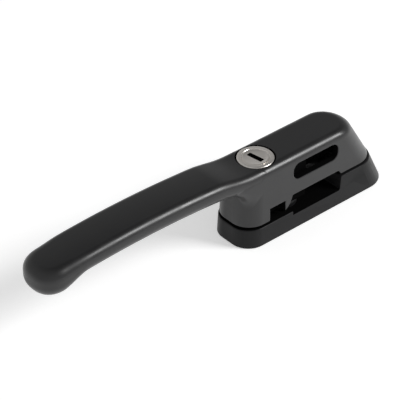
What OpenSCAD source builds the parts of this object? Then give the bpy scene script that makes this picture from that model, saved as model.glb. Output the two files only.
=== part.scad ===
// Lever fastener for an outward-opening casement window.
// The base is screwed to the sash. The handle turns on a steel spindle, and its
// head takes the frame's keeper tongue in the lower opening or in the upper slot.
// A key lock in the head drives a bolt down into the base.
// The origin is on the spindle's axis, in the base's mounting face. +Z leaves the
// sash, the lever points to -X, and the keeper comes in from -Y.

/* [Lever] */
// Length from the spindle's axis to the free end
lever_reach = 124.1; // [105:0.1:155]
// Width across the lever
lever_w = 19.9; // [17:0.1:20.2]
// Thickness of the lever at mid span
lever_t = 8; // [6.5:0.1:9.5]
// Height of the arch above the head's top face
lever_rise = 3.7; // [2:0.1:6]
// How far the free end hangs below the lever's underside
bulb_drop = 3.8; // [1:0.1:5]
// Crown across the lever's top
lever_crown = 0.5; // [0:0.1:1]

/* [Head] */
// Height of the head's top face above the mounting face
head_top = 34.2; // [33:0.1:42]
// Fillet along the top edge
head_fillet = 3.6; // [2:0.1:4]
// Step in from the base's sides to the head's
head_step = 0.3; // [0.1:0.1:0.8]
// Wall round the head's core
head_wall = 3; // [2:0.1:4]
// Radius of the hollow in the neck, under the lever
neck_r = 4.5; // [2:0.5:6]

/* [Base] */
// From the lock's axis to the base's end under the lever
base_tail = 14.3; // [13.5:0.1:22]
// From the spindle's axis to the base's far end
base_front = 51.2; // [47:0.1:62]
// Width at the mounting face
base_w = 22.8; // [22:0.1:27]
// Plan radius of the corners under the lever
base_corner_r = 8.5; // [4:0.5:9]
// Height of the low step, under the lock
base_low = 8.6; // [8:0.1:10]
// Height of the floor that the keeper slides over
base_floor = 7; // [6.4:0.1:7.6]
// Height of the high step
base_high = 13.3; // [12:0.1:14.5]
// Gap between the base and the head above it
parting = 1.35; // [0.8:0.05:2]
// Rounding of the base's top edge
base_edge_r = 0.5; // [0.2:0.1:1]
// Side draft, in degrees
draft = 1.8; // [1:0.1:3]
// Rake of the base's far end, in degrees
base_rake = 24.2; // [15:0.1:27]
// Rake of the head's far end, in degrees
head_rake = 29.7; // [20:0.1:32]

/* [Keeper openings] */
// Start of the openings, from the spindle's axis towards the far end
slot_x0 = -2.8; // [-3.2:0.1:-1]
// Length of the upper slot
slot_l = 24; // [20:0.5:25]
// Height of the upper slot
slot_h = 7.4; // [5:0.1:8]
// Height of the upper slot's lower edge
slot_z = 22.85; // [22:0.05:23.5]
// Height of the lower opening's roof
roof_z = 16.4; // [15.5:0.1:17.5]
// Length of the lower opening at its roof
roof_l = 24.4; // [20:0.1:25]
// Lean of the lower opening's far wall, from its roof to the base's floor
wall_lean = 1.4; // [0.8:0.1:2]
// Width of the notch beside the lower opening
notch_w = 8.1; // [6:0.1:9]
// Height of the notch's roof
notch_z = 15.4; // [14:0.1:17]
// Width of the tooth between the notch and the opening
tooth_w = 4.4; // [3:0.1:5]
// Height of the tooth's tip
tooth_z = 10.8; // [10.4:0.1:11.5]
// Radius of the tooth's curved flank
tooth_r = 9; // [8:0.5:14]
// Corner radius of the upper slot
slot_r = 3.2; // [1:0.1:3.6]

/* [Spindle] */
// Diameter of the spindle
spindle_d = 8; // [6:0.1:9.6]
// Wall of the bush that it turns in
bush_wall = 1; // [0.8:0.1:1.4]
// Wall round the spindle's hole in the head
boss_wall = 2.5; // [2:0.1:3]
// Height of the spindle's upper end
spindle_top = 28; // [24:0.5:30]
// Diameter of the roll pin that stops the turn
stop_pin_d = 3; // [2:0.1:3.6]
// Clearance between the washer and the stop pin
stop_clear = 0.6; // [0.4:0.1:1]
// Turn of the handle, in degrees
handle_turn = 90; // [60:5:100]
// Depth of the spring pocket under the base
pocket_depth = 3.4; // [3:0.1:3.8]
// Radius of the spring pocket
pocket_r = 8.6; // [8:0.1:9.5]
// Thickness of the washers, the disc spring and the retaining ring
washer_t = 0.8; // [0.6:0.05:0.9]

/* [Lock] */
// From the spindle's axis back to the lock's axis
lock_x = 14; // [13.9:0.1:17]
// Diameter of the lock's face
lock_face_d = 15; // [13.5:0.1:16]
// Thickness of the face flange
lock_flange_t = 1.3; // [1:0.1:2]
// Gap between the flange and its seat
lock_ring_gap = 0.6; // [0.3:0.1:1]
// Diameter of the plug
plug_d = 11; // [10:0.1:11.6]
// Wall of the housing round the plug
housing_wall = 0.95; // [0.8:0.05:1.2]
// Length of the plug behind its face
plug_l = 9.8; // [8:0.1:10.4]
// Width of the keyway
keyway_w = 7.2; // [6:0.1:8]
// Thickness of the keyway
keyway_t = 2.2; // [1.8:0.1:2.6]
// Turn of the keyway from straight across the head, in degrees
keyway_turn = 9; // [0:1:20]
// Number of wafers
wafers = 5; // [3:1:5]
// Diameter of the bolt
bolt_d = 4; // [3:0.1:4.4]
// Clearance round the bolt in the base
bolt_gap = 0.3; // [0.2:0.05:0.5]
// Travel of the bolt
bolt_travel = 4; // [3:0.1:4.2]
// Turn of the key that drives it, in degrees
key_turn = 90; // [60:5:90]
// Outside diameter of the cam barrel
cam_d = 7.2; // [6.8:0.1:7.6]
// Wall of the guide sleeve
sleeve_wall = 1.3; // [1:0.1:1.5]
// Diameter of the cross pin
cross_pin_d = 1.6; // [1.2:0.1:1.8]

/* [Fixing] */
// Diameter of the screw holes
screw_hole_d = 4.5; // [3.5:0.1:5]
// Diameter of the countersinks
screw_head_d = 8.8; // [7:0.1:9]
// Wall between the bolt's hole and the countersink beside it
screw_wall = 1.1; // [1:0.1:3]
// From the spindle's axis to the screw at the far end
screw_front = 34; // [32:0.5:44]

/* [Fits] */
// Radial clearance of the pieces that turn or slide
run_gap = 0.05; // [0.02:0.01:0.1]
// Clearance of the pieces that are fixed in a hole
fixed_gap = 0.02; // [0.01:0.01:0.05]
// Clearance between faces that pass each other
face_gap = 0.1; // [0.05:0.05:0.3]

/* [Hidden] */
$fn = 96;
eps = 0.01;
paint = [0.07, 0.07, 0.075];
steel = [0.7, 0.7, 0.72];
brass = [0.78, 0.62, 0.32];
acetal = [0.12, 0.12, 0.12];

spindle_r = spindle_d / 2;
bush_r = spindle_r + run_gap + bush_wall;
boss_r = spindle_r + boss_wall;
stop_path_r = boss_r + stop_clear + stop_pin_d / 2;
bolt_hole_r = bolt_d / 2 + bolt_gap;
base_back = lock_x + base_tail;
screw_back = lock_x + bolt_hole_r + screw_wall + screw_head_d / 2;
head_low = base_low + parting;
head_high = base_high + parting;
slot_x1 = slot_x0 + slot_l;
roof_x1 = slot_x0 + roof_l;
step_x = roof_x1 + wall_lean;
tooth_x0 = slot_x0 - tooth_w;
notch_x0 = tooth_x0 - notch_w;
stop_angle = 180 - handle_turn / 2;

// Lock levels, from the face down
flange_z = head_top - lock_flange_t;
plug_z0 = head_top - plug_l;
plug_r = plug_d / 2;
housing_r = plug_r + run_gap + housing_wall;
web_t = 1.1;
housing_z0 = plug_z0 - face_gap - web_t;
tail_r = 3;
tail_low_r = 2.4;
clip_t = 0.6;
clip_z0 = housing_z0 - face_gap - clip_t;
cam_top = clip_z0 - 2 * face_gap;
cam_r = cam_d / 2;
cam_engage = 1.7;
cam_web = 1.45;
cam_web_z0 = cam_top - cam_engage - cam_web;
bolt_r = bolt_d / 2;
cross_pin_r = cross_pin_d / 2;
bolt_top = cam_web_z0 - 1.5 * face_gap;
cross_pin_z = bolt_top - cross_pin_r - 0.1;
bolt_z0 = head_low + 1.5 * face_gap;
sleeve_in_r = cam_r + 2 * run_gap;
sleeve_r = sleeve_in_r + sleeve_wall;
sleeve_z0 = head_low + 2.25;
sleeve_top = cam_top + face_gap;
grub_z = (flange_z + housing_z0) / 2;
grub_r = 2;

// Half width at a height, and the centre that the far end is round about
function body_r(z) = base_w / 2 - z * tan(draft);
function base_cx(z) = base_front - base_w / 2 - z * tan(base_rake);
function head_cx(z) = base_cx(base_high) - (z - base_high) * tan(head_rake);
function arc(cx, cy, r, a0, a1, n) =
    [for (i = [0 : n]) let (a = a0 + (a1 - a0) * i / n) [cx + r * cos(a), cy + r * sin(a)]];
function clamp01(t) = min(1, max(0, t));
function ease(t) = let (u = clamp01(t)) u * u * (3 - 2 * u);

// Plan outline at a height, stepped in all round
function outline(z, inset, cx) = let (
        r = body_r(z) - inset,
        cr = max(0.5, base_corner_r - inset),
        x0 = -base_back + z * tan(draft) + inset)
    concat(
        arc(cx, 0, r, -90, 90, 32),
        arc(x0 + cr, r - cr, cr, 90, 180, 10),
        arc(x0 + cr, cr - r, cr, 180, 270, 10));

module slice(z, inset, cx) {
    translate([0, 0, z - eps])
        linear_extrude(height = eps)
            polygon(outline(z, inset, cx));
}

module ring(r_out, r_in, z0, z1) {
    translate([0, 0, z0])
        rotate_extrude()
            translate([r_in, 0])
                square([r_out - r_in, z1 - z0]);
}

// ---- Base ----

// Side view of what is cut away above the stepped base
module step_cut() {
    top = base_high + 20;
    root_r = 1.2;
    lean = 0.6;
    edge = slot_x0 - 0.6;
    rotate([90, 0, 0])
        linear_extrude(height = 2 * base_w, center = true)
            polygon(concat(
                [[step_x + 0.3, top], [-2 * base_back, top], [-2 * base_back, base_low],
                 [edge, base_low], [edge, base_floor]],
                arc(step_x - lean - root_r, base_floor + root_r, root_r, -90, 0, 6),
                [[step_x, base_high]]));
}

// Countersunk hole, cut from above a face at the given height
module screw_hole(x, top) {
    hole_r = screw_hole_d / 2;
    head_r = screw_head_d / 2;
    translate([x, 0, 0])
        rotate_extrude()
            polygon([
                [0, -1], [hole_r, -1], [hole_r, top + hole_r - head_r], [head_r + 1, top + 1], [0, top + 1]]);
}

// Groove that the stop pin runs in as the handle turns
module stop_groove() {
    half = stop_pin_d / 2 + 0.25;
    margin = half / stop_path_r * 180 / PI;
    translate([0, 0, base_low - 3])
        rotate([0, 0, stop_angle - margin])
            rotate_extrude(angle = handle_turn + 2 * margin)
                translate([stop_path_r - half, 0])
                    square([2 * half, 10]);
}

module base_plate() {
    color(paint)
        difference() {
            union() {
                difference() {
                    hull() {
                        slice(eps, 0, base_cx(eps));
                        for (a = [0 : 30 : 90]) {
                            z = base_high - base_edge_r * (1 - sin(a));
                            slice(z, base_edge_r * (1 - cos(a)), base_cx(z));
                        }
                    }
                    step_cut();
                }
                translate([0, 0, base_floor - 1])
                    cylinder(r = boss_r, h = base_low - base_floor + 1);
            }
            translate([0, 0, -1])
                cylinder(r = bush_r + fixed_gap, h = 20);
            translate([0, 0, -1])
                cylinder(r = pocket_r, h = pocket_depth + 1);
            stop_groove();
            translate([-lock_x, 0, bolt_z0 - bolt_travel - 0.8])
                cylinder(r = bolt_hole_r, h = 20);
            screw_hole(-screw_back, base_low);
            screw_hole(screw_front, base_high);
        }
}

module pivot_bush() {
    color(brass)
        ring(bush_r, spindle_r + run_gap, pocket_depth, base_low);
}

module friction_washer() {
    color(acetal)
        ring(boss_r, spindle_r + 3 * run_gap, base_low, head_low - fixed_gap);
}

// ---- Handle ----

lever_r = lever_w / 2;
cap_l = 14;
cap_x = -lever_reach + cap_l;
bulb_lead = 6.5;
bulb_l = 12;
// The arch is highest a little past mid span, and falls off as a parabola
arch_x = -lever_reach * 0.587;
arch_k = lever_rise * 0.0003;
root_x = -lock_x - 6;
root_l = 20;
// Height of the lever's top above the head's top at x
function lever_lift(x) = ease((root_x - x) / root_l) * (lever_rise - arch_k * (x - arch_x) * (x - arch_x));
function bulb(x) = bulb_drop * ease((cap_x + bulb_lead - x) / bulb_l);
function cap(x) = x > cap_x ? 1 : sqrt(max(0, 1 - pow((cap_x - x) / cap_l, 2.2)));
function mid_z(x) = let (u = max(x, cap_x)) head_top + lever_lift(u) - (lever_t + bulb(u)) / 2;
function top_z(x) = let (u = max(x, cap_x)) mid_z(x) + cap(x) * (lever_t + bulb(u)) / 2;
function low_z(x) = 2 * mid_z(x) - top_z(x) - (x > cap_x ? 0 : bulb(x) - bulb(cap_x)) * cap(x);
function half_w(x) = lever_r * cap(x);

// One closed section of the lever at x
function lever_ring(x, sink, crown) = let (
        w = half_w(x),
        t = top_z(x) - sink,
        b = low_z(x),
        ru = min(upper_r, 0.42 * (t - b), 0.9 * w),
        rl = min(lower_r, 0.56 * (t - b), 0.9 * w),
        side = concat(
            arc(w - rl, b + rl, rl, -90, 0, 6),
            arc(w - ru, t - ru, ru, 0, 90, 6)),
        top = [for (i = [1 : 3]) let (u = 1 - i / 2) [(w - ru) * u, t + crown * (1 - u * u)]],
        other = [for (i = [len(side) - 1 : -1 : 0]) [-side[i][0], side[i][1]]])
    [for (p = concat(side, top, other)) [x, p[0], p[1]]];

upper_r = 3.2;
lower_r = 4.5;
lever_steps = 34;
cap_steps = 9;
lever_xs = concat(
    [for (i = [0 : cap_steps - 1]) cap_x - cap_l * cos(90 * (i + 0.35) / cap_steps)],
    [for (i = [0 : lever_steps]) cap_x + (root_x + 4 - cap_x) * i / lever_steps]);

module lever() {
    // The root is sunk a little below the head's top, so that their faces never coincide
    rings = [for (x = lever_xs) let (
            sink = 0.06 * ease((x - root_x + 6) / 8),
            crown = lever_crown * ease((root_x - x) / root_l))
        lever_ring(x, sink, crown)];
    n = len(rings[0]);
    tip = [-lever_reach, 0, mid_z(-lever_reach)];
    points = concat([tip], [for (r = rings) each r]);
    last = len(rings) - 1;
    polyhedron(
        points = points,
        faces = concat(
            [for (j = [0 : n - 1]) [0, 1 + j, 1 + (j + 1) % n]],
            [for (i = [0 : last - 1], j = [0 : n - 1]) let (
                    a = 1 + i * n + j,
                    b = 1 + i * n + (j + 1) % n) [a, b + n, b]],
            [for (i = [0 : last - 1], j = [0 : n - 1]) let (
                    a = 1 + i * n + j,
                    b = 1 + i * n + (j + 1) % n) [a, a + n, b + n]],
            [[for (j = [n - 1 : -1 : 0]) 1 + last * n + j]]));
}

// Head with its top edge rounded by slices stepped in along the fillet
module head_block() {
    hull() {
        slice(head_low, head_step, head_cx(head_low));
        for (a = [0 : 15 : 90]) {
            z = head_top - head_fillet * (1 - sin(a));
            slice(z, head_step + head_fillet * (1 - cos(a)), head_cx(z));
        }
    }
}

// Hollow fillet where the lever leaves the head
module neck() {
    under = head_top - lever_t + 1;
    back = -base_back + head_step + head_low * tan(draft);
    half = lever_r - 4;
    translate([back, 0, under])
        rotate([90, 0, 0])
            linear_extrude(height = 2 * half, center = true)
                difference() {
                    translate([-neck_r, -neck_r])
                        square([neck_r + 5, neck_r + 2]);
                    translate([-neck_r, -neck_r])
                        circle(r = neck_r);
                }
}

// Side view of what is cut away under the head
module under_cut() {
    rotate([90, 0, 0])
        linear_extrude(height = 2 * base_w, center = true)
            polygon([
                [-base_back - 5, -1], [base_front + 5, -1], [base_front + 5, head_high],
                [step_x, head_high], [step_x - 0.6, head_low], [-base_back - 5, head_low]]);
}

// The tooth's flank, an arc from its tip up to the opening's roof
function tooth_flank() = let (
        tip = [tooth_x0 + 0.2, tooth_z],
        root = [slot_x0 - 0.2, roof_z],
        half = norm(root - tip) / 2,
        out = [tip[1] - root[1], root[0] - tip[0]] / (2 * half),
        centre = (tip + root) / 2 + out * sqrt(tooth_r * tooth_r - half * half),
        a0 = atan2(tip[1] - centre[1], tip[0] - centre[0]),
        a1 = atan2(root[1] - centre[1], root[0] - centre[0]))
    arc(centre[0], centre[1], tooth_r, a0, a1, 8);

// Side view of the notch, the tooth and the lower opening
module keeper_profile() {
    polygon(concat(
        [[notch_x0, head_low - 1], [notch_x0, notch_z], [tooth_x0, notch_z], [tooth_x0, tooth_z]],
        tooth_flank(),
        [[roof_x1, roof_z], [step_x, head_high - 0.2], [step_x, head_low - 1]]));
}

module slot_profile() {
    for (x = [slot_x0 + slot_r, slot_x1 - slot_r])
        for (z = [slot_z + slot_r, slot_z + slot_h - slot_r])
            translate([x, z])
                circle(r = slot_r);
    translate([slot_x0 + slot_r, slot_z])
        square([slot_l - 2 * slot_r, slot_h]);
    translate([slot_x0, slot_z + slot_r])
        square([slot_l, slot_h - 2 * slot_r]);
}

// Depth of the openings: to the core, or beside the spindle's boss and the lock
module keeper_openings() {
    face = base_w / 2 + 1;
    beside = boss_r + 0.3;
    difference() {
        rotate([90, 0, 0])
            linear_extrude(height = face)
                keeper_profile();
        translate([notch_x0 - 1, -beside, 0])
            cube([boss_r + 1.5 - notch_x0, 2 * beside, head_top]);
    }
    difference() {
        rotate([90, 0, 0])
            linear_extrude(height = face)
                slot_profile();
        translate([slot_x0 - 1, -beside, 0])
            cube([boss_r + 0.5 - slot_x0, 2 * beside, head_top]);
    }
}

// Core that hollows the head beyond the spindle
module head_core() {
    top = head_top - head_wall;
    half = body_r(top) - head_step - head_wall + 0.4;
    end = head_cx(top) - 1;
    x0 = boss_r + 0.5;
    translate([x0, -half, head_low - 1])
        cube([end - x0, 2 * half, top - head_low + 1]);
    translate([end, 0, head_low - 1])
        cylinder(r = half, h = top - head_low + 1);
}

// Outer skin of the casting, made one mesh before anything is cut from it
module casting_skin() {
    resize([0, 0, 0])
        union() {
            head_block();
            lever();
            neck();
        }
}

module handle_casting() {
    color(paint)
        difference() {
            casting_skin();
            under_cut();
            head_core();
            keeper_openings();
            translate([0, 0, head_low - 1])
                cylinder(r = spindle_r + fixed_gap, h = spindle_top - head_low + 1.2);
            stop_pin_place()
                cylinder(d = stop_pin_d + 2 * fixed_gap, h = 12.2);
            translate([-lock_x, 0, 0]) {
                translate([0, 0, flange_z])
                    cylinder(r = lock_face_d / 2 + lock_ring_gap, h = 10);
                translate([0, 0, sleeve_top])
                    cylinder(r = housing_r + fixed_gap, h = head_top);
                translate([0, 0, sleeve_z0])
                    cylinder(r = sleeve_r + fixed_gap, h = sleeve_top - sleeve_z0 + 1);
                cylinder(r = bolt_r + run_gap, h = sleeve_z0 + 1);
                translate([0, 0, grub_z])
                    rotate([-90, 0, 0])
                        cylinder(r = grub_r + fixed_gap, h = base_w);
            }
        }
}

// Foot of the groove that the retaining ring snaps into
groove_z = pocket_depth - 3 * washer_t + 0.04;
groove_r = spindle_r - 0.8;

module pivot_spindle() {
    color(steel)
        difference() {
            translate([0, 0, 0.3])
                cylinder(r = spindle_r, h = spindle_top - 0.3);
            ring(spindle_r + 1, groove_r, groove_z - washer_t * 0.1, groove_z + washer_t);
        }
}

module stop_pin_place() {
    rotate([0, 0, stop_angle])
        translate([stop_path_r, 0, head_low - 4])
            children();
}

module stop_pin() {
    color(steel)
        stop_pin_place()
            difference() {
                cylinder(d = stop_pin_d, h = 12);
                translate([0, 0, -1])
                    cylinder(d = stop_pin_d - 1.2, h = 14);
                translate([-0.25, 0, -1])
                    cube([0.5, stop_pin_d, 14]);
            }
}

module retaining_ring() {
    color(steel)
        difference() {
            ring(spindle_r + 2, groove_r + fixed_gap, groove_z, groove_z + washer_t - fixed_gap);
            translate([-1.5, 0, 0])
                cube([3, spindle_r + 4, pocket_depth]);
        }
}

module thrust_washer() {
    z1 = pocket_depth - washer_t - fixed_gap;
    color(steel)
        ring(pocket_r - 0.6, spindle_r + 0.1, z1 - washer_t + 0.06, z1);
}

module disc_spring() {
    z1 = pocket_depth - fixed_gap;
    t = washer_t * 0.55;
    color(steel)
        rotate_extrude()
            polygon([
                [spindle_r + 0.15, z1 - t], [spindle_r + 0.15, z1],
                [pocket_r - 0.7, z1 - washer_t + t + 0.04], [pocket_r - 0.7, z1 - washer_t + 0.04]]);
}

// ---- Lock ----

module lock_housing() {
    chamfer = 0.45;
    face_r = lock_face_d / 2;
    color(steel)
        translate([-lock_x, 0, 0])
            difference() {
                rotate_extrude()
                    polygon([
                        [tail_r + run_gap, housing_z0], [housing_r, housing_z0], [housing_r, flange_z],
                        [face_r, flange_z], [face_r, head_top - chamfer], [face_r - chamfer, head_top],
                        [plug_r + run_gap, head_top], [plug_r + run_gap, housing_z0 + web_t],
                        [tail_r + run_gap, housing_z0 + web_t]]);
                translate([0, housing_r - 0.5, grub_z])
                    rotate([-90, 0, 0])
                        cylinder(r = grub_r + fixed_gap, h = 5);
            }
}

module lock_grub_screw() {
    outer = body_r(grub_z) - head_step - 0.6;
    color(steel)
        translate([-lock_x, 0, grub_z])
            rotate([-90, 0, 0])
                difference() {
                    translate([0, 0, housing_r - 0.5 + fixed_gap])
                        cylinder(r = grub_r, h = outer - housing_r + 0.5);
                    translate([0, 0, outer - 1.6])
                        cylinder(r = 1.15, h = 4, $fn = 6);
                }
}

module guide_sleeve() {
    slot = cross_pin_r + run_gap;
    bottom = cross_pin_z - bolt_travel - slot;
    color(brass)
        translate([-lock_x, 0, 0])
            difference() {
                ring(sleeve_r, sleeve_in_r, sleeve_z0, sleeve_top);
                translate([-2 * sleeve_r, -slot, bottom])
                    cube([4 * sleeve_r, 2 * slot, cross_pin_z - bottom]);
                for (z = [cross_pin_z - bolt_travel, cross_pin_z])
                    translate([-2 * sleeve_r, 0, z])
                        rotate([0, 90, 0])
                            cylinder(r = slot, h = 4 * sleeve_r);
            }
}

wafer_t = 0.8;
wafer_pitch = (plug_l - 2.4) / wafers;
wafer_half_w = 2.6;
wafer_half_l = sqrt(plug_r * plug_r - wafer_half_w * wafer_half_w) - 0.1;
function wafer_z(i) = plug_z0 + 0.9 + wafer_pitch * i;

module in_plug() {
    translate([-lock_x, 0, 0])
        rotate([0, 0, keyway_turn])
            children();
}

module wafer_blank(z, t, grow) {
    translate([-wafer_half_w - grow, -wafer_half_l - grow, z - grow])
        cube([2 * (wafer_half_w + grow), 2 * (wafer_half_l + grow), t + 2 * grow]);
}

module lock_plug() {
    dish = 0.18;
    color(steel)
        in_plug()
            difference() {
                rotate_extrude()
                    polygon([
                        [0, cam_top - cam_engage + face_gap], [tail_low_r, cam_top - cam_engage + face_gap],
                        [tail_low_r, clip_z0], [tail_r - 0.6, clip_z0], [tail_r - 0.6, clip_z0 + clip_t],
                        [tail_r, clip_z0 + clip_t], [tail_r, plug_z0],
                        [plug_r, plug_z0], [plug_r, head_top - 0.3], [plug_r - 0.3, head_top],
                        [plug_r - 0.7, head_top - dish], [0, head_top - dish]]);
                translate([-keyway_t / 2, -keyway_w / 2, plug_z0 + 0.5])
                    cube([keyway_t, keyway_w, plug_l]);
                for (i = [0 : wafers - 1])
                    wafer_blank(wafer_z(i), wafer_t, 0.05);
                translate([-5, 1.7, cam_top - cam_engage - 1])
                    cube([10, 5, cam_engage + 1.05]);
                translate([0, 0, cam_top - cam_engage])
                    cylinder(r = 1, h = 2.6);
            }
}

module lock_wafers() {
    key_half_t = keyway_t / 2 + 0.1;
    spring_room = 0.8;
    color(brass)
        in_plug()
            for (i = [0 : wafers - 1])
                difference() {
                    wafer_blank(wafer_z(i), wafer_t, 0);
                    translate([-key_half_t, -keyway_w / 2 + 0.3 * (i % 3), wafer_z(i) - 1])
                        cube([2 * key_half_t, keyway_w - 0.9, 4]);
                    translate([wafer_half_w - spring_room, -1.6, wafer_z(i) - 1])
                        cube([spring_room + 1, 3.2, 4]);
                }
}

// One short coil spring beside each wafer, drawn as closed rings
module wafer_springs() {
    wire = 0.1;
    coils = 5;
    color(steel)
        in_plug()
            for (i = [0 : wafers - 1], j = [0 : coils - 1])
                translate([wafer_half_w - 0.38, -1.2 + 0.6 * j, wafer_z(i) + wafer_t / 2])
                    rotate([90, 0, 0])
                        rotate_extrude($fn = 24)
                            translate([0.24, 0])
                                circle(r = wire, $fn = 16);
}

module plug_clip() {
    color(steel)
        in_plug()
            difference() {
                ring(tail_r + 1.1, tail_r - 0.6 + fixed_gap, clip_z0 + 0.02, clip_z0 + clip_t - 0.02);
                translate([-1.2, 0, clip_z0 - 1])
                    cube([2.4, 10, 3]);
            }
}

// Barrel with a helical slot each side, drilled at short steps along the helix
module cam_barrel() {
    steps = 18;
    color(steel)
        translate([-lock_x, 0, 0])
            difference() {
                translate([0, 0, sleeve_z0 + face_gap])
                    cylinder(r = cam_r, h = cam_top - sleeve_z0 - face_gap);
                translate([0, 0, sleeve_z0])
                    cylinder(r = bolt_r + 2 * run_gap, h = cam_web_z0 - sleeve_z0);
                rotate([0, 0, keyway_turn])
                    difference() {
                        translate([0, 0, cam_top - cam_engage])
                            cylinder(r = tail_low_r + fixed_gap, h = 5);
                        translate([-5, 1.7 + fixed_gap, cam_top - cam_engage - 1])
                            cube([10, 5, cam_engage + 3]);
                    }
                translate([0, 0, cam_web_z0 - 1])
                    cylinder(r = 1 + fixed_gap, h = 5);
                translate([0, 0, cam_web_z0 - eps])
                    cylinder(r1 = 1.9 + fixed_gap, r2 = 1 + fixed_gap, h = 0.9);
                for (i = [0 : steps])
                    rotate([0, 0, key_turn * i / steps])
                        translate([-2 * cam_r, 0, cross_pin_z - bolt_travel * i / steps])
                            rotate([0, 90, 0])
                                cylinder(r = cross_pin_r + 3 * run_gap, h = 4 * cam_r, $fn = 32);
            }
}

module cam_screw() {
    color(steel)
        translate([-lock_x, 0, cam_web_z0])
            difference() {
                rotate_extrude()
                    polygon([[0, 0], [1.9, 0], [1, 0.9], [1, cam_web + 2.3], [0, cam_web + 2.3]]);
                translate([0, 0, -0.1])
                    for (a = [0, 90])
                        rotate([0, 0, a])
                            translate([-1.1, -0.2, 0])
                                cube([2.2, 0.4, 0.6]);
            }
}

module lock_bolt() {
    nose = 0.4;
    color(steel)
        translate([-lock_x, 0, 0])
            difference() {
                rotate_extrude()
                    polygon([
                        [0, bolt_z0], [bolt_r - nose, bolt_z0], [bolt_r, bolt_z0 + nose],
                        [bolt_r, bolt_top], [0, bolt_top]]);
                translate([-bolt_d, 0, cross_pin_z])
                    rotate([0, 90, 0])
                        cylinder(r = cross_pin_r + fixed_gap, h = 2 * bolt_d);
            }
}

module bolt_cross_pin() {
    half = sleeve_r - 0.3;
    color(steel)
        translate([-lock_x - half, 0, cross_pin_z])
            rotate([0, 90, 0])
                cylinder(r = cross_pin_r, h = 2 * half);
}

base_plate();
pivot_bush();
friction_washer();
handle_casting();
pivot_spindle();
stop_pin();
disc_spring();
thrust_washer();
retaining_ring();
lock_housing();
lock_grub_screw();
guide_sleeve();
lock_plug();
lock_wafers();
wafer_springs();
plug_clip();
cam_barrel();
cam_screw();
lock_bolt();
bolt_cross_pin();
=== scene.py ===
import math

import bpy
import numpy as np
from mathutils import Matrix, Vector


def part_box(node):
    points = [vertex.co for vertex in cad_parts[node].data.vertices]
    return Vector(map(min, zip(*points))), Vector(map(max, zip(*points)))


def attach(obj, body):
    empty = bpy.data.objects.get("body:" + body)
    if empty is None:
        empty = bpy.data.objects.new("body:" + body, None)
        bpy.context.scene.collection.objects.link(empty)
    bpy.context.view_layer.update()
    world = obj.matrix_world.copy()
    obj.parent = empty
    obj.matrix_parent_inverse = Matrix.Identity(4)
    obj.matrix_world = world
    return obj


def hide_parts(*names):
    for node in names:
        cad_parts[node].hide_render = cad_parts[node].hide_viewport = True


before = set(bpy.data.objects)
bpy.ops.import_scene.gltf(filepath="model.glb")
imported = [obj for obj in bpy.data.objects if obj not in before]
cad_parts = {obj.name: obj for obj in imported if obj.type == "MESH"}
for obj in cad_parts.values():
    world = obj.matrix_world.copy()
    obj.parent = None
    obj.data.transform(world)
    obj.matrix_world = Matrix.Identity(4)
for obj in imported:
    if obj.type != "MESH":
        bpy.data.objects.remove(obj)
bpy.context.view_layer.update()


# ---- Handle casting -------------------------------------------------------------------------
# One zinc pressure die casting: an arched lever whose root runs into a tall pivoting head.
# Its skin is roughed out from blocks, remeshed fine, and drawn on to the pattern's own surface,
# with a hollow fillet where the lever leaves the head. Lengths here are in millimetres.

MM = 0.001


def box_mm(node):
    """A CAD node's lowest and highest corners in millimetres."""
    return [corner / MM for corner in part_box(node)]


casting_low, casting_high = box_mm("handle_casting")
base_low_corner, base_high_corner = box_mm("base_plate")
housing_box_low, housing_box_high = box_mm("lock_housing")
LOCK_X = (housing_box_low.x + housing_box_high.x) / 2
HEAD_TOP = housing_box_high.z
HEAD_LOW = casting_low.z
LEVER_END = casting_low.x
LEVER_CROWN = 0.5
LEVER_RISE = casting_high.z - HEAD_TOP - LEVER_CROWN
LEVER_THICK = 8.0
LEVER_HALF = 9.95
LEVER_UPPER_R, LEVER_LOWER_R = 3.2, 4.4
ARCH_X = LEVER_END * 0.587
ARCH_FALL = 0.0003
ROOT_X, ROOT_LONG = LOCK_X - 6, 20
BULB_DROP = 3.8
BULB_X, BULB_LONG = LEVER_END + 20.5, 12
END_POWER = 2.3
BASE_LEFT = base_low_corner.x
BASE_RIGHT = base_high_corner.x
BASE_HALF = base_high_corner.y
BASE_HIGH = base_high_corner.z
BASE_CORNER = 8.5
DRAFT = math.tan(math.radians(1.8))
BASE_RAKE = math.tan(math.radians(24.2))
HEAD_RAKE = math.tan(math.radians(29.7))
HEAD_STEP = 0.3
HEAD_FILLET = 3.4
ROUGH_FOOT = 3
NECK_TIGHT_R, NECK_GROWTH = 2.2, 6.0
NECK_SIDE_R = 1.5


def deselect():
    """Nothing is selected, so an operator only meets what is chosen next."""
    bpy.ops.object.select_all(action="DESELECT")


def take(obj):
    """One object is selected and active."""
    deselect()
    obj.select_set(True)
    bpy.context.view_layer.objects.active = obj


def block(name, low, high):
    """A cube between two corners, with its place in its mesh."""
    deselect()
    bpy.ops.mesh.primitive_cube_add(size=1, location=[(a + b) / 2 * MM for a, b in zip(low, high)])
    obj = bpy.context.object
    obj.name = name
    obj.scale = [(b - a) * MM for a, b in zip(low, high)]
    bpy.ops.object.transform_apply(location=True, rotation=True, scale=True)
    return obj


def apply_boolean(obj, other, operation="DIFFERENCE"):
    """Joins or cuts one closed mesh with another, which is used up."""
    take(obj)
    change = obj.modifiers.new("boolean", "BOOLEAN")
    change.operation = operation
    change.solver = "MANIFOLD"
    change.object = other
    bpy.ops.object.modifier_apply(modifier=change.name)
    bpy.data.objects.remove(other, do_unlink=True)
    return obj


def ease(t):
    """A smooth step from 0 to 1."""
    t = np.clip(t, 0, 1)
    return t * t * (3 - 2 * t)


def filleted(a, b, radius):
    """Signed distance to a solid under two faces, with a fillet where they meet."""
    p, q = a + radius, b + radius
    return np.hypot(np.maximum(p, 0), np.maximum(q, 0)) + np.minimum(np.maximum(p, q), 0) - radius


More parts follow.
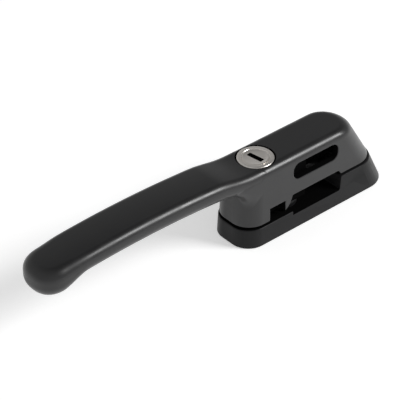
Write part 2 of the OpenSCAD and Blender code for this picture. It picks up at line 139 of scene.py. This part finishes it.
def head_skin(x, y, z):
    """Head: a round-ended outline, drafted all round and raked at its far end."""
    half = BASE_HALF - z * DRAFT - HEAD_STEP
    left = BASE_LEFT + z * DRAFT + HEAD_STEP
    right = BASE_RIGHT - BASE_HALF - BASE_HIGH * BASE_RAKE - (z - BASE_HIGH) * HEAD_RAKE + half
    middle, reach = (left + right) / 2, (right - left) / 2
    corner = np.where(x < middle, BASE_CORNER, half)
    plan = filleted(np.abs(x - middle) - reach, np.abs(y) - half, corner)
    return np.maximum(filleted(plan, z - HEAD_TOP, HEAD_FILLET), ROUGH_FOOT - z)


def lever_lift(x):
    """Height of the lever's arched top above the head's top."""
    return ease((ROOT_X - x) / ROOT_LONG) * LEVER_RISE * (1 - ARCH_FALL * (x - ARCH_X) ** 2)


def lever_skin(x, y, z):
    """Lever: a bar of nearly constant section, arched, with a dropped and fully rounded end."""
    root = ease((ROOT_X - x) / ROOT_LONG)
    tip = ease((BULB_X - x) / BULB_LONG)
    half = LEVER_HALF + 0.1 * (1 - root)
    top = HEAD_TOP + lever_lift(x)
    under = top - LEVER_THICK - BULB_DROP * tip
    end_x = LEVER_END + half
    round_end = (np.maximum(end_x - x, 0) ** END_POWER + np.abs(y) ** END_POWER) ** (1 / END_POWER)
    plan = np.maximum(round_end - half, x - LOCK_X + 2)
    lower_r = LEVER_LOWER_R + 1.4 * tip
    crown = LEVER_CROWN * root * (1 - np.clip(y / half, -1, 1) ** 2)
    upper = filleted(plan, z - top - crown, LEVER_UPPER_R + 1.1 * tip)
    return np.where(z > under + lower_r + 0.1, upper, filleted(plan, under - z, lower_r))


def casting_skin(p):
    """Head and lever together. The neck's hollow is tight under the lever and wide at its sides."""
    x, y, z = p[:, 0], p[:, 1], p[:, 2]
    head, lever = head_skin(x, y, z), lever_skin(x, y, z)
    hollow_r = NECK_TIGHT_R + NECK_GROWTH * ease((np.abs(y) - 2.5) / 6)
    hollow = hollow_r - np.hypot(np.maximum(hollow_r - head, 0), np.maximum(hollow_r - lever, 0))
    side = np.abs(y) - (BASE_HALF - z * DRAFT - HEAD_STEP)
    hollow = np.maximum(filleted(hollow, side, NECK_SIDE_R), z - HEAD_TOP - lever_lift(x) + 4)
    return np.minimum(np.minimum(head, lever), hollow)


def draw_on(obj, skin):
    """Moves each vertex straight on to a surface, as a casting is fettled to its pattern."""
    rounds, limit, step = 6, 2.5, 0.02
    count = len(obj.data.vertices)
    place = np.zeros(count * 3)
    obj.data.vertices.foreach_get("co", place)
    start = place.reshape(-1, 3) / MM
    p = start.copy()
    for _ in range(rounds):
        slope = np.stack([(skin(p + d) - skin(p - d)) / (2 * step) for d in np.eye(3) * step], axis=1)
        p = p - slope * (skin(p) / np.maximum((slope ** 2).sum(1), 0.2))[:, None]
        p = start + np.clip(p - start, -limit, limit)
    obj.data.vertices.foreach_set("co", (p * MM).ravel())
    obj.data.update()


def rough_lever(steps):
    """A bar bisected across at even steps, with each cut lifted along the arch."""
    x0, x1, half = LEVER_END + 3, LOCK_X, 9.4
    bar = block("handle_body", (x0, -half, HEAD_TOP - LEVER_THICK + 0.4), (x1, half, HEAD_TOP))
    bpy.ops.object.mode_set(mode="EDIT")
    for i in range(1, steps):
        bpy.ops.mesh.select_all(action="SELECT")
        bpy.ops.mesh.bisect(plane_co=((x0 + (x1 - x0) * i / steps) * MM, 0, 0), plane_no=(1, 0, 0))
    bpy.ops.object.mode_set(mode="OBJECT")
    for vertex in bar.data.vertices:
        x = vertex.co.x / MM
        underside = vertex.co.z < (HEAD_TOP - 3) * MM
        drop = BULB_DROP * ease((BULB_X - x) / BULB_LONG) if underside else 0
        vertex.co.z += (lever_lift(x) - drop) * MM
    return bar


def rough_head():
    """A block whose far end is pulled out at the foot to follow the rake."""
    low, half = ROUGH_FOOT + 1, 10.2
    head = block("rough_head", (BASE_LEFT + 1, -half, low), (32, half, HEAD_TOP))
    bpy.ops.object.mode_set(mode="EDIT")
    bpy.ops.mesh.select_all(action="DESELECT")
    bpy.ops.object.mode_set(mode="OBJECT")
    for vertex in head.data.vertices:
        vertex.select = vertex.co.x > 0 and vertex.co.z < (low + 1) * MM
    bpy.ops.object.mode_set(mode="EDIT")
    bpy.ops.transform.translate(value=((HEAD_TOP - low) * HEAD_RAKE * MM, 0, 0))
    bpy.ops.object.mode_set(mode="OBJECT")
    return head


handle = apply_boolean(rough_lever(28), rough_head(), "UNION")
for voxel in (0.9, 0.4):
    take(handle)
    remesh = handle.modifiers.new("remesh", "REMESH")
    remesh.mode = "VOXEL"
    remesh.voxel_size = voxel * MM
    bpy.ops.object.modifier_apply(modifier=remesh.name)
    draw_on(handle, casting_skin)


# ---- Openings and seats in the head ----------------------------------------------------------
# The head is cored from below. Its keeper side has a slot, an opening, a tooth and a notch, cast
# in with rounded lips, and its top is bored for the lock, down through to the bolt. What was
# cored wears a dull, near-black, almost unreflective material: painted shade in the pockets, where the
# outside is glossy.

def arc(cx, cy, radius, start, end, steps):
    """Points along an arc, both ends included, with angles in degrees."""
    angles = [math.radians(start + (end - start) * i / steps) for i in range(steps + 1)]
    return [(cx + radius * math.cos(a), cy + radius * math.sin(a)) for a in angles]


def loft(name, loops):
    """Closed outlines of equal count, skinned one to the next: a disc, extruded loop by loop."""
    deselect()
    bpy.ops.mesh.primitive_circle_add(vertices=len(loops[0]), radius=1, fill_type="NGON")
    obj = bpy.context.object
    obj.name = name
    mesh = obj.data
    ring = list(range(len(loops[0])))
    for i, loop in enumerate(loops):
        if i:
            last = np.array([mesh.vertices[j].co for j in ring])
            bpy.ops.object.mode_set(mode="EDIT")
            bpy.ops.mesh.extrude_region_move()
            bpy.ops.object.mode_set(mode="OBJECT")
            fresh = [v.index for v in mesh.vertices if v.select]
            places = np.array([mesh.vertices[j].co for j in fresh])
            ring = [fresh[int(np.argmin(((places - at) ** 2).sum(1)))] for at in last]
        for j, point in zip(ring, loop):
            mesh.vertices[j].co = [c * MM for c in point]
    bpy.ops.object.mode_set(mode="EDIT")
    bpy.ops.mesh.select_all(action="SELECT")
    bpy.ops.mesh.normals_make_consistent(inside=False)
    bpy.ops.object.mode_set(mode="OBJECT")
    return obj


def prism(name, outline, low, high):
    """An outline in X and Z made solid between two Y values."""
    return loft(name, [[(x, y, z) for x, z in outline] for y in (low, high)])


def rod(name, centre, radius, low, high, axis="Z", sides=96):
    """A cylinder along Y or Z between two heights, with its place in its mesh."""
    deselect()
    middle = [centre[0], centre[1]]
    middle.insert(2 if axis == "Z" else 1, (low + high) / 2)
    bpy.ops.mesh.primitive_cylinder_add(
        vertices=sides, radius=radius * MM, depth=(high - low) * MM, location=[c * MM for c in middle],
        rotation=(0 if axis == "Z" else math.pi / 2, 0, 0))
    obj = bpy.context.object
    obj.name = name
    bpy.ops.object.transform_apply(location=True, rotation=True, scale=True)
    return obj


def former(outline, depth):
    """Cutter for a side opening: flared by the lip where it leaves the wall, straight beyond it."""
    rings = ((1.3 * LIP, -3), (1.3 * LIP, -0.3 * LIP), (LIP, 0), (0.35 * LIP, 0.3 * LIP), (0, LIP))
    loops = [[(x, inset - BASE_HALF + z * DRAFT + HEAD_STEP, z) for x, z in outline(grow)]
             for grow, inset in rings]
    return loft("former", loops + [[(x, depth, z) for x, z in outline(0)]])


LIP = 0.3
SLOT_X = (-2.8, 21.2)
SLOT_Z = (22.85, 30.25)
SLOT_R = 3.2
ROOF_Z, ROOF_X = 16.4, 21.6
STEP_X = ROOF_X + 1.4
NOTCH_Z, NOTCH_X = 15.4, -15.3
TOOTH_Z, TOOTH_X, TOOTH_R = 10.8, -7.2, 9.0
PARTING = 1.35
HEAD_HIGH = BASE_HIGH + PARTING


def slot_outline(grow):
    """Upper slot: a rectangle with round corners."""
    x0, x1 = SLOT_X[0] + SLOT_R, SLOT_X[1] - SLOT_R
    z0, z1 = SLOT_Z[0] + SLOT_R, SLOT_Z[1] - SLOT_R
    corners = ((x1, z0, -90), (x1, z1, 0), (x0, z1, 90), (x0, z0, 180))
    return [p for x, z, turn in corners for p in arc(x, z, SLOT_R + grow, turn, turn + 90, 8)]


def opening_outline(grow):
    """Lower opening: its near edge is the tooth's hollowed flank, its far wall leans outwards."""
    flank = arc(SLOT_X[0] - 0.2 - TOOTH_R, ROOF_Z + 2, TOOTH_R - grow, -57, -13, 10)
    return [(TOOTH_X + 0.3, HEAD_LOW - 4), (STEP_X + 0.4 + grow, HEAD_LOW - 4),
            (STEP_X + grow, HEAD_HIGH - 0.2), (ROOF_X + grow, ROOF_Z + grow),
            (SLOT_X[0] - 0.1 - grow, ROOF_Z + grow)] + flank[::-1]


def notch_outline(grow):
    """Notch: open below, with the tooth's straight side on its right."""
    return [(NOTCH_X - grow, HEAD_LOW - 4), (TOOTH_X + 0.5, HEAD_LOW - 4), (TOOTH_X + 0.5, TOOTH_Z),
            (TOOTH_X + 0.4 * grow, TOOTH_Z), (TOOTH_X + grow, TOOTH_Z + 1), (TOOTH_X + grow, NOTCH_Z + grow),
            (NOTCH_X - grow, NOTCH_Z + grow)]


CORE_TOP = HEAD_TOP - 3
CORE_HALF = BASE_HALF - CORE_TOP * DRAFT - HEAD_STEP - 2.6
CORE_END = BASE_RIGHT - BASE_HALF - BASE_HIGH * BASE_RAKE - (CORE_TOP - BASE_HIGH) * HEAD_RAKE - 1
POCKET_Y = -6.8
under_line = [(-40, 0), (60, 0), (60, HEAD_HIGH),
              (STEP_X, HEAD_HIGH), (STEP_X - 0.6, HEAD_LOW), (-40, HEAD_LOW)]
apply_boolean(handle, prism("under", under_line, -20, 20))
apply_boolean(handle, block("core", (7.0, -CORE_HALF, HEAD_LOW - 1), (CORE_END, CORE_HALF, CORE_TOP)))
apply_boolean(handle, rod("core", (CORE_END, 0), CORE_HALF - 0.02, HEAD_LOW - 1.1, CORE_TOP - 0.02))
for outline in (slot_outline, opening_outline, notch_outline):
    apply_boolean(handle, former(outline, POCKET_Y))

# Bored seats: the lock's flange and barrel, the sleeve, the bolt, the spindle, the stop pin and
# the grub screw that holds the lock from behind.
sleeve_low, sleeve_high = box_mm("guide_sleeve")
spindle_high = box_mm("pivot_spindle")[1]
grub_low, grub_high = box_mm("lock_grub_screw")
pin_low, pin_high = box_mm("stop_pin")
FACE_R = (housing_box_high.x - housing_box_low.x) / 2
FLANGE_Z = HEAD_TOP - 1.3
RING_GAP = 0.6
HOUSING_R = 6.5
GUIDE_R, PIN_HOLE_R, GRUB_HOLE_R = 2.05, 1.52, 2.02
FIT = 0.02
lock_at = (LOCK_X, 0)
pin_at = ((pin_low.x + pin_high.x) / 2, (pin_low.y + pin_high.y) / 2)
seats = (
    (lock_at, FACE_R + RING_GAP, FLANGE_Z, HEAD_TOP + 3),
    (lock_at, HOUSING_R + FIT, sleeve_high.z, HEAD_TOP),
    (lock_at, (sleeve_high.x - sleeve_low.x) / 2 + FIT, sleeve_low.z, sleeve_high.z + 1),
    (lock_at, GUIDE_R, HEAD_LOW - 1, sleeve_low.z + 1),
    ((0, 0), spindle_high.x + FIT, HEAD_LOW - 1, spindle_high.z + 0.2),
    (pin_at, PIN_HOLE_R, HEAD_LOW - 1, pin_high.z + 0.2))
for centre, radius, low, high in seats:
    apply_boolean(handle, rod("seat", centre, radius, low, high, sides=128 if radius > 5 else 48))
grub_at = (LOCK_X, (grub_low.z + grub_high.z) / 2)
apply_boolean(handle, rod("seat", grub_at, GRUB_HOLE_R, 5, 14, "Y", 48))


def fine_grain():
    """Shared surface grain: a height for relief, and masks that stir tone and roughness."""
    group = bpy.data.node_groups.new("fine_grain", "ShaderNodeTree")
    for name, way in (("Scale", "INPUT"), ("Smooth", "INPUT"), ("Rough", "INPUT"),
                      ("Height", "OUTPUT"), ("Roughness", "OUTPUT"), ("Tone", "OUTPUT")):
        group.interface.new_socket(name, in_out=way, socket_type="NodeSocketFloat")
    nodes, links = group.nodes, group.links
    given, result = nodes.new("NodeGroupInput"), nodes.new("NodeGroupOutput")
    place = nodes.new("ShaderNodeTexCoord")
    fine, broad = nodes.new("ShaderNodeTexNoise"), nodes.new("ShaderNodeTexNoise")
    coarser = nodes.new("ShaderNodeMath")
    coarser.operation = "MULTIPLY"
    coarser.inputs[1].default_value = 0.05
    links.new(given.outputs["Scale"], coarser.inputs[0])
    links.new(given.outputs["Scale"], fine.inputs["Scale"])
    links.new(coarser.outputs[0], broad.inputs["Scale"])
    for noise in (fine, broad):
        noise.inputs["Detail"].default_value = 3
        links.new(place.outputs["Object"], noise.inputs["Vector"])
    spread = nodes.new("ShaderNodeMapRange")
    spread.inputs["From Min"].default_value = 0.35
    spread.inputs["From Max"].default_value = 0.65
    links.new(broad.outputs["Fac"], spread.inputs["Value"])
    links.new(given.outputs["Smooth"], spread.inputs["To Min"])
    links.new(given.outputs["Rough"], spread.inputs["To Max"])
    links.new(fine.outputs["Fac"], result.inputs["Height"])
    links.new(spread.outputs["Result"], result.inputs["Roughness"])
    links.new(fine.outputs["Fac"], result.inputs["Tone"])
    return group


grain = fine_grain()


def finish(name, dark, light, metallic, smooth, rough, scale, relief, ior=1.5):
    """A Principled finish whose tone, roughness and relief follow the shared grain."""
    material = bpy.data.materials.new(name)
    material.use_nodes = True
    nodes, links = material.node_tree.nodes, material.node_tree.links
    shader = nodes["Principled BSDF"]
    shader.inputs["Metallic"].default_value = metallic
    shader.inputs["IOR"].default_value = ior
    texture = nodes.new("ShaderNodeGroup")
    texture.node_tree = grain
    for socket, value in (("Scale", scale), ("Smooth", smooth), ("Rough", rough)):
        texture.inputs[socket].default_value = value
    tone = nodes.new("ShaderNodeMix")
    tone.data_type = "RGBA"
    tone.inputs["A"].default_value = (*dark, 1)
    tone.inputs["B"].default_value = (*light, 1)
    links.new(texture.outputs["Tone"], tone.inputs["Factor"])
    links.new(tone.outputs["Result"], shader.inputs["Base Color"])
    links.new(texture.outputs["Roughness"], shader.inputs["Roughness"])
    bump = nodes.new("ShaderNodeBump")
    bump.inputs["Distance"].default_value = relief * MM
    links.new(texture.outputs["Height"], bump.inputs["Height"])
    links.new(bump.outputs["Normal"], shader.inputs["Normal"])
    return material


def dress(obj, *materials):
    """An object wears these finishes alone."""
    obj.data.materials.clear()
    for material in materials:
        obj.data.materials.append(material)


def smooth_by_angle(obj):
    """Smooth shading that keeps the crisp edges."""
    take(obj)
    bpy.ops.object.shade_smooth_by_angle(angle=math.radians(35))


enamel = finish("black_enamel", (0.009, 0.009, 0.0095), (0.015, 0.015, 0.0155), 0, 0.3, 0.38, 2600, 0.006)
# Near-black and almost unreflective: painted shade for pockets, keyway and the base under the head.
painted_shade = finish("painted_shade_black", (0.002, 0.002, 0.002), (0.004, 0.004, 0.004), 0, 0.8, 0.95, 1800, 0.02, 1.05)
dress(handle, enamel, painted_shade)
# Faces deeper than CORED_DEPTH inside the skin get the painted shade material.
centres = np.zeros(len(handle.data.polygons) * 3)
handle.data.polygons.foreach_get("center", centres)
CORED_DEPTH = 0.45
cored = casting_skin(centres.reshape(-1, 3) / MM) < -CORED_DEPTH
handle.data.polygons.foreach_set("material_index", cored.astype(int))
smooth_by_angle(handle)
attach(handle, "handle")
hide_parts("handle_casting")


# ---- Base plate -------------------------------------------------------------------------------
# A second zinc casting, screwed to the sash: low under the lock, lower still where the keeper
# slides, and high at its raked far end. It is drilled, bored for the bush, and painted black, in a
# copy of the handle's enamel drawn darker and less reflective as painted shade.

BASE_LOW = HEAD_LOW - PARTING
BASE_FLOOR = 7.0
BASE_EDGE = 0.45
BOSS_R = 6.5


def base_outline(z, inset):
    """Plan outline of the base at a height, stepped in all round."""
    half = BASE_HALF - z * DRAFT - inset
    left = BASE_LEFT + z * DRAFT + inset
    corner = BASE_CORNER - inset
    far = BASE_RIGHT - BASE_HALF - z * BASE_RAKE
    plan = (arc(far, 0, half, -90, 90, 56) + arc(left + corner, half - corner, corner, 90, 180, 20)
            + arc(left + corner, corner - half, corner, 180, 270, 20))
    return [(x, y, z) for x, y in plan]


def base_block(name, top):
    """The base's body up to a height, with its upper edge rounded."""
    turns = [math.radians(a) for a in range(0, 91, 15)]
    rounding = [base_outline(top - BASE_EDGE * (1 - math.sin(a)), BASE_EDGE * (1 - math.cos(a)))
                for a in turns]
    return loft(name, [base_outline(0, 0.25), base_outline(0.25, 0)] + rounding)


base = base_block("base_body", BASE_LOW)
floor_line = [(SLOT_X[0] - 0.6, BASE_FLOOR), (30, BASE_FLOOR), (30, 20), (SLOT_X[0] - 0.6, 20)]
apply_boolean(base, prism("floor", floor_line, -20, 20))
far_end = base_block("far_end", BASE_HIGH)
step_line = ([(-40, BASE_FLOOR)] + arc(STEP_X - 1.8, BASE_FLOOR + 1.2, 1.2, -90, -10, 8)
             + [(STEP_X - 0.2, BASE_HIGH - 0.6), (STEP_X, BASE_HIGH - 0.2), (STEP_X + 0.45, BASE_HIGH + 0.01),
                (STEP_X + 0.5, 30), (-40, 30)])
apply_boolean(far_end, prism("step", step_line, -20, 20))
apply_boolean(base, far_end, "UNION")
apply_boolean(base, rod("boss", (0, 0), BOSS_R, BASE_FLOOR - 1, BASE_LOW - 0.01), "UNION")

# Countersunk screw holes, the bush's bore over the spring pocket, the bolt's hole, and the
# groove that the stop pin runs in.
SCREW_R, SINK_R = 2.25, 4.4
SCREW_XS = (-21.8, 34.0)
POCKET_R, BOLT_HOLE_R, BOLT_REACH = 8.6, 2.3, 4.8
GROOVE_HALF, GROOVE_START, GROOVE_END = 1.75, 123.3, 236.7
bush_low, bush_high = box_mm("pivot_bush")
bolt_low = box_mm("lock_bolt")[0]


def screw_hole(x, top):
    """A drilled hole with a right-angled countersink."""
    profile = ((SCREW_R, -1), (SCREW_R, top - SINK_R + SCREW_R), (SINK_R, top), (SINK_R + 1, top + 1))
    return loft("screw_hole", [[(px, py, z) for px, py in arc(x, 0, r, 0, 354, 59)] for r, z in profile])


for screw_x, top in zip(SCREW_XS, (BASE_LOW, BASE_HIGH)):
    apply_boolean(base, screw_hole(screw_x, top))
apply_boolean(base, rod("bore", (0, 0), bush_high.x + FIT, -1, 12))
apply_boolean(base, rod("spring_pocket", (0, 0), POCKET_R, -1, bush_low.z))
apply_boolean(base, rod("bolt_hole", lock_at, BOLT_HOLE_R, bolt_low.z - BOLT_REACH, 12, sides=48))
pin_path = math.hypot(*pin_at)
groove_sides = ((pin_path + GROOVE_HALF, GROOVE_START), (pin_path - GROOVE_HALF, GROOVE_END))
groove = [p for radius, start in groove_sides
          for p in arc(0, 0, radius, start, 360 - start, 24)]
apply_boolean(base, loft("groove", [[(x, y, z) for x, y in groove] for z in (BASE_LOW - 3, 12)]))
# The same black paint as the handle, drawn darker and less reflective: painted shade on the base's sides.
shaded_enamel = finish("shaded_base_enamel", (0.008, 0.008, 0.0085), (0.013, 0.013, 0.0135), 0, 0.34, 0.42, 2600, 0.008,
               1.25)
dress(base, shaded_enamel, painted_shade)
# The keeper's floor, the low step under the head and the underside wear the near-black material: painted
# shade where the head overhangs the base.
for face in base.data.polygons:
    x, y, z = face.center / MM
    on_floor = abs(z - BASE_FLOOR) < 0.5 and SLOT_X[0] - 1 < x < STEP_X - 0.2 and abs(y) < BASE_HALF - 1
    on_low_step = abs(z - BASE_LOW) < 0.01 and x < SLOT_X[0]
    face.material_index = int(on_floor or on_low_step or z < 0.01)
smooth_by_angle(base)
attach(base, "base")
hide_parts("base_plate")


# ---- Lock face --------------------------------------------------------------------------------
# The front of a small wafer lock, turned from brass and plated in satin nickel. A flanged housing
# drops in flush with the head, and the plug turns in it, with a dished face and a milled keyway.

def turned(name, centre_x, profile, sides=160):
    """A turned solid: a disc, extruded and opened or closed step by step up its profile."""
    deselect()
    radius, low = profile[0]
    bpy.ops.mesh.primitive_circle_add(
        vertices=sides, radius=radius * MM, fill_type="NGON", location=(centre_x * MM, 0, low * MM))
    obj = bpy.context.object
    obj.name = name
    bpy.ops.object.transform_apply(location=True, rotation=True, scale=True)
    bpy.ops.object.mode_set(mode="EDIT")
    for (r0, z0), (r1, z1) in zip(profile, profile[1:]):
        bpy.ops.mesh.extrude_region_move(TRANSFORM_OT_translate={"value": (0, 0, (z1 - z0) * MM)})
        bpy.ops.transform.resize(value=(r1 / r0, r1 / r0, 1), center_override=(centre_x * MM, 0, z1 * MM))
    bpy.ops.mesh.select_all(action="SELECT")
    bpy.ops.mesh.normals_make_consistent(inside=False)
    bpy.ops.object.mode_set(mode="OBJECT")
    return obj


plug_low, plug_high = box_mm("lock_plug")
PLUG_R = (plug_high.x - plug_low.x) / 2
HOUSING_LOW = housing_box_low.z
WEB = 1.1
RIM_R = 0.45
TAIL_R = 3.0
rim = [(FACE_R - RIM_R + x, HEAD_TOP - RIM_R + z) for x, z in arc(0, 0, RIM_R, 0, 90, 6)]
housing = turned("lock_face_ring", LOCK_X,
                 [(HOUSING_R, HOUSING_LOW), (HOUSING_R, FLANGE_Z), (FACE_R, FLANGE_Z)] + rim
                 + [(PLUG_R + 0.2, HEAD_TOP - 0.001), (PLUG_R + 0.06, HEAD_TOP - 0.12)])
apply_boolean(housing, rod("bore", lock_at, PLUG_R + 0.05, HOUSING_LOW + WEB, HEAD_TOP + 1, sides=160))
apply_boolean(housing, rod("bore", lock_at, TAIL_R + 0.05, HOUSING_LOW - 1, HEAD_TOP, sides=64))
apply_boolean(housing, rod("bore", grub_at, GRUB_HOLE_R, HOUSING_R - 0.5, 14, "Y", 48))

DISH = 0.16
KEY_LONG, KEY_THICK, KEY_TURN, KEY_DEEP = 7.2, 2.2, 9, 9
plug = turned("key_plug_face", LOCK_X,
              [(TAIL_R, HOUSING_LOW + WEB + 0.01), (TAIL_R, HOUSING_LOW + WEB + 0.1),
               (PLUG_R, HOUSING_LOW + WEB + 0.1), (PLUG_R, HEAD_TOP - 0.25),
               (PLUG_R - 0.1, HEAD_TOP - 0.07), (PLUG_R - 0.3, HEAD_TOP),
               (PLUG_R - 0.7, HEAD_TOP - 0.06), (PLUG_R - 1.3, HEAD_TOP - DISH)])
keyway = block("keyway", (-KEY_THICK / 2, -KEY_LONG / 2, HEAD_TOP - KEY_DEEP),
               (KEY_THICK / 2, KEY_LONG / 2, 40))
bpy.ops.object.mode_set(mode="EDIT")
bpy.ops.mesh.select_mode(type="EDGE")
bpy.ops.mesh.select_all(action="SELECT")
bpy.ops.mesh.bevel(offset=0.25 * MM, segments=2, affect="EDGES")
bpy.ops.mesh.select_mode(type="VERT")
bpy.ops.object.mode_set(mode="OBJECT")
key_turn = Matrix.Rotation(math.radians(KEY_TURN), 4, "Z")
keyway.matrix_world = Matrix.Translation((LOCK_X * MM, 0, 0)) @ key_turn
take(keyway)
bpy.ops.object.transform_apply(location=True, rotation=True, scale=True)
apply_boolean(plug, keyway)

nickel = finish("satin_nickel", (0.9, 0.86, 0.81), (0.98, 0.94, 0.89), 1, 0.26, 0.34, 4200, 0.002)
for piece, body, node in ((housing, "handle", "lock_housing"), (plug, "key_plug", "lock_plug")):
    dress(piece, nickel, painted_shade)
    # Deep faces inside the keyway wear the near-black material: painted shade.
    for face in piece.data.polygons:
        x, y, z = face.center / MM
        deep = HOUSING_LOW + WEB + 0.2 < z < HEAD_TOP - 0.4
        face.material_index = int(deep and math.hypot(x - LOCK_X, y) < KEY_LONG / 2 + 0.2)
    smooth_by_angle(piece)
    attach(piece, body)
    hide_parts(node)


# ---- Working parts ----------------------------------------------------------------------------
# What hides inside keeps its CAD solid, in the finish that it is made in: zinc-plated steel for
# what is turned, dark oiled steel for springs and clips, brass for bush, sleeve and wafers, and
# black acetal for the washer that the head runs on.

finishes = (
    (finish("zinc_plate", (0.5, 0.51, 0.52), (0.62, 0.63, 0.64), 1, 0.28, 0.42, 3800, 0.004),
     ("pivot_spindle", "thrust_washer", "lock_grub_screw", "cam_barrel", "cam_screw", "lock_bolt",
      "bolt_cross_pin")),
    (finish("oiled_steel", (0.16, 0.16, 0.17), (0.24, 0.24, 0.25), 1, 0.3, 0.42, 4200, 0.004),
     ("stop_pin", "disc_spring", "retaining_ring", "wafer_springs", "plug_clip")),
    (finish("turned_brass", (0.5, 0.33, 0.13), (0.62, 0.42, 0.17), 1, 0.25, 0.4, 4200, 0.004),
     ("pivot_bush", "guide_sleeve", "lock_wafers")),
    (finish("black_acetal", (0.017, 0.017, 0.017), (0.024, 0.024, 0.024), 0, 0.42, 0.55, 3000, 0.008),
     ("friction_washer",)),
)
for material, nodes in finishes:
    for node in nodes:
        dress(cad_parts[node], material)
for node, stand_in in (("handle_casting", enamel), ("base_plate", shaded_enamel), ("lock_housing", nickel),
                       ("lock_plug", nickel)):
    dress(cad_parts[node], stand_in)


# ---- Stage ------------------------------------------------------------------------------------
# A white light table under the object, walls that darken overhead and to the right, and one soft
# light from the front right, with the camera.

deselect()
bpy.ops.mesh.primitive_plane_add(size=6, location=(0, 0, -0.1 * MM))
bpy.ops.object.transform_apply(location=True, rotation=True, scale=True)
floor = bpy.context.object
floor.name = "floor"
paper = bpy.data.materials.new("pale_paper")
paper.use_nodes = True
paper_shader = paper.node_tree.nodes["Principled BSDF"]
paper_shader.inputs["Base Color"].default_value = (0.85, 0.85, 0.85, 1)
paper_shader.inputs["Roughness"].default_value = 0.9
paper_shader.inputs["Emission Color"].default_value = (1, 1, 1, 1)
paper_shader.inputs["Emission Strength"].default_value = 0.42
dress(floor, paper)

world = bpy.data.worlds.new("studio")
bpy.context.scene.world = world
world.use_nodes = True
nodes, links = world.node_tree.nodes, world.node_tree.links
ray = nodes.new("ShaderNodeTexCoord")
lean = nodes.new("ShaderNodeVectorMath")
lean.operation = "DOT_PRODUCT"
lean.inputs[1].default_value = (0.5, 0, 0.87)
ramp = nodes.new("ShaderNodeValToRGB")
links.new(ray.outputs["Generated"], lean.inputs[0])
links.new(lean.outputs["Value"], ramp.inputs["Fac"])
links.new(ramp.outputs["Color"], nodes["Background"].inputs["Color"])
ramp.color_ramp.elements[0].position = 0.0
ramp.color_ramp.elements[0].color = (0.62, 0.62, 0.62, 1)
ramp.color_ramp.elements[1].position = 1.0
ramp.color_ramp.elements[1].color = (0.1, 0.1, 0.1, 1)
for height, level in ((0.4, 0.5), (0.72, 0.34), (0.9, 0.16)):
    stop = ramp.color_ramp.elements.new(height)
    stop.color = (level, level, level, 1)


# One square soft light that looks back at the origin, in metres and watts.
LAMP_AWAY, LAMP_SIZE, LAMP_POWER = 1.5, 0.5, 16
lamp_data = bpy.data.lights.new("front_light", "AREA")
lamp_data.size = LAMP_SIZE
lamp_data.energy = LAMP_POWER
lamp = bpy.data.objects.new("front_light", lamp_data)
bpy.context.scene.collection.objects.link(lamp)
towards = Vector((0.525, -0.596, 0.62)).normalized()
lamp.location = towards * LAMP_AWAY
lamp.rotation_euler = towards.to_track_quat("Z", "Y").to_euler()

AZIMUTH, ELEVATION = math.radians(40.828), math.radians(36.57)
camera_data = bpy.data.cameras.new("camera")
camera = bpy.data.objects.new("camera", camera_data)
bpy.context.scene.collection.objects.link(camera)
right = Vector((math.cos(AZIMUTH), -math.sin(AZIMUTH), 0))
up = Vector((math.sin(AZIMUTH) * math.sin(ELEVATION), math.cos(AZIMUTH) * math.sin(ELEVATION),
             math.cos(ELEVATION)))
eye = Vector((LOCK_X - 454.8, -493.44, HEAD_TOP + 476.66)) * MM
camera.matrix_world = Matrix.Translation(eye) @ Matrix((right, up, right.cross(up))).transposed().to_4x4()
camera_data.sensor_width = 36
camera_data.lens = 190.5
bpy.context.scene.camera = camera
bpy.context.scene.view_settings.view_transform = "Standard"
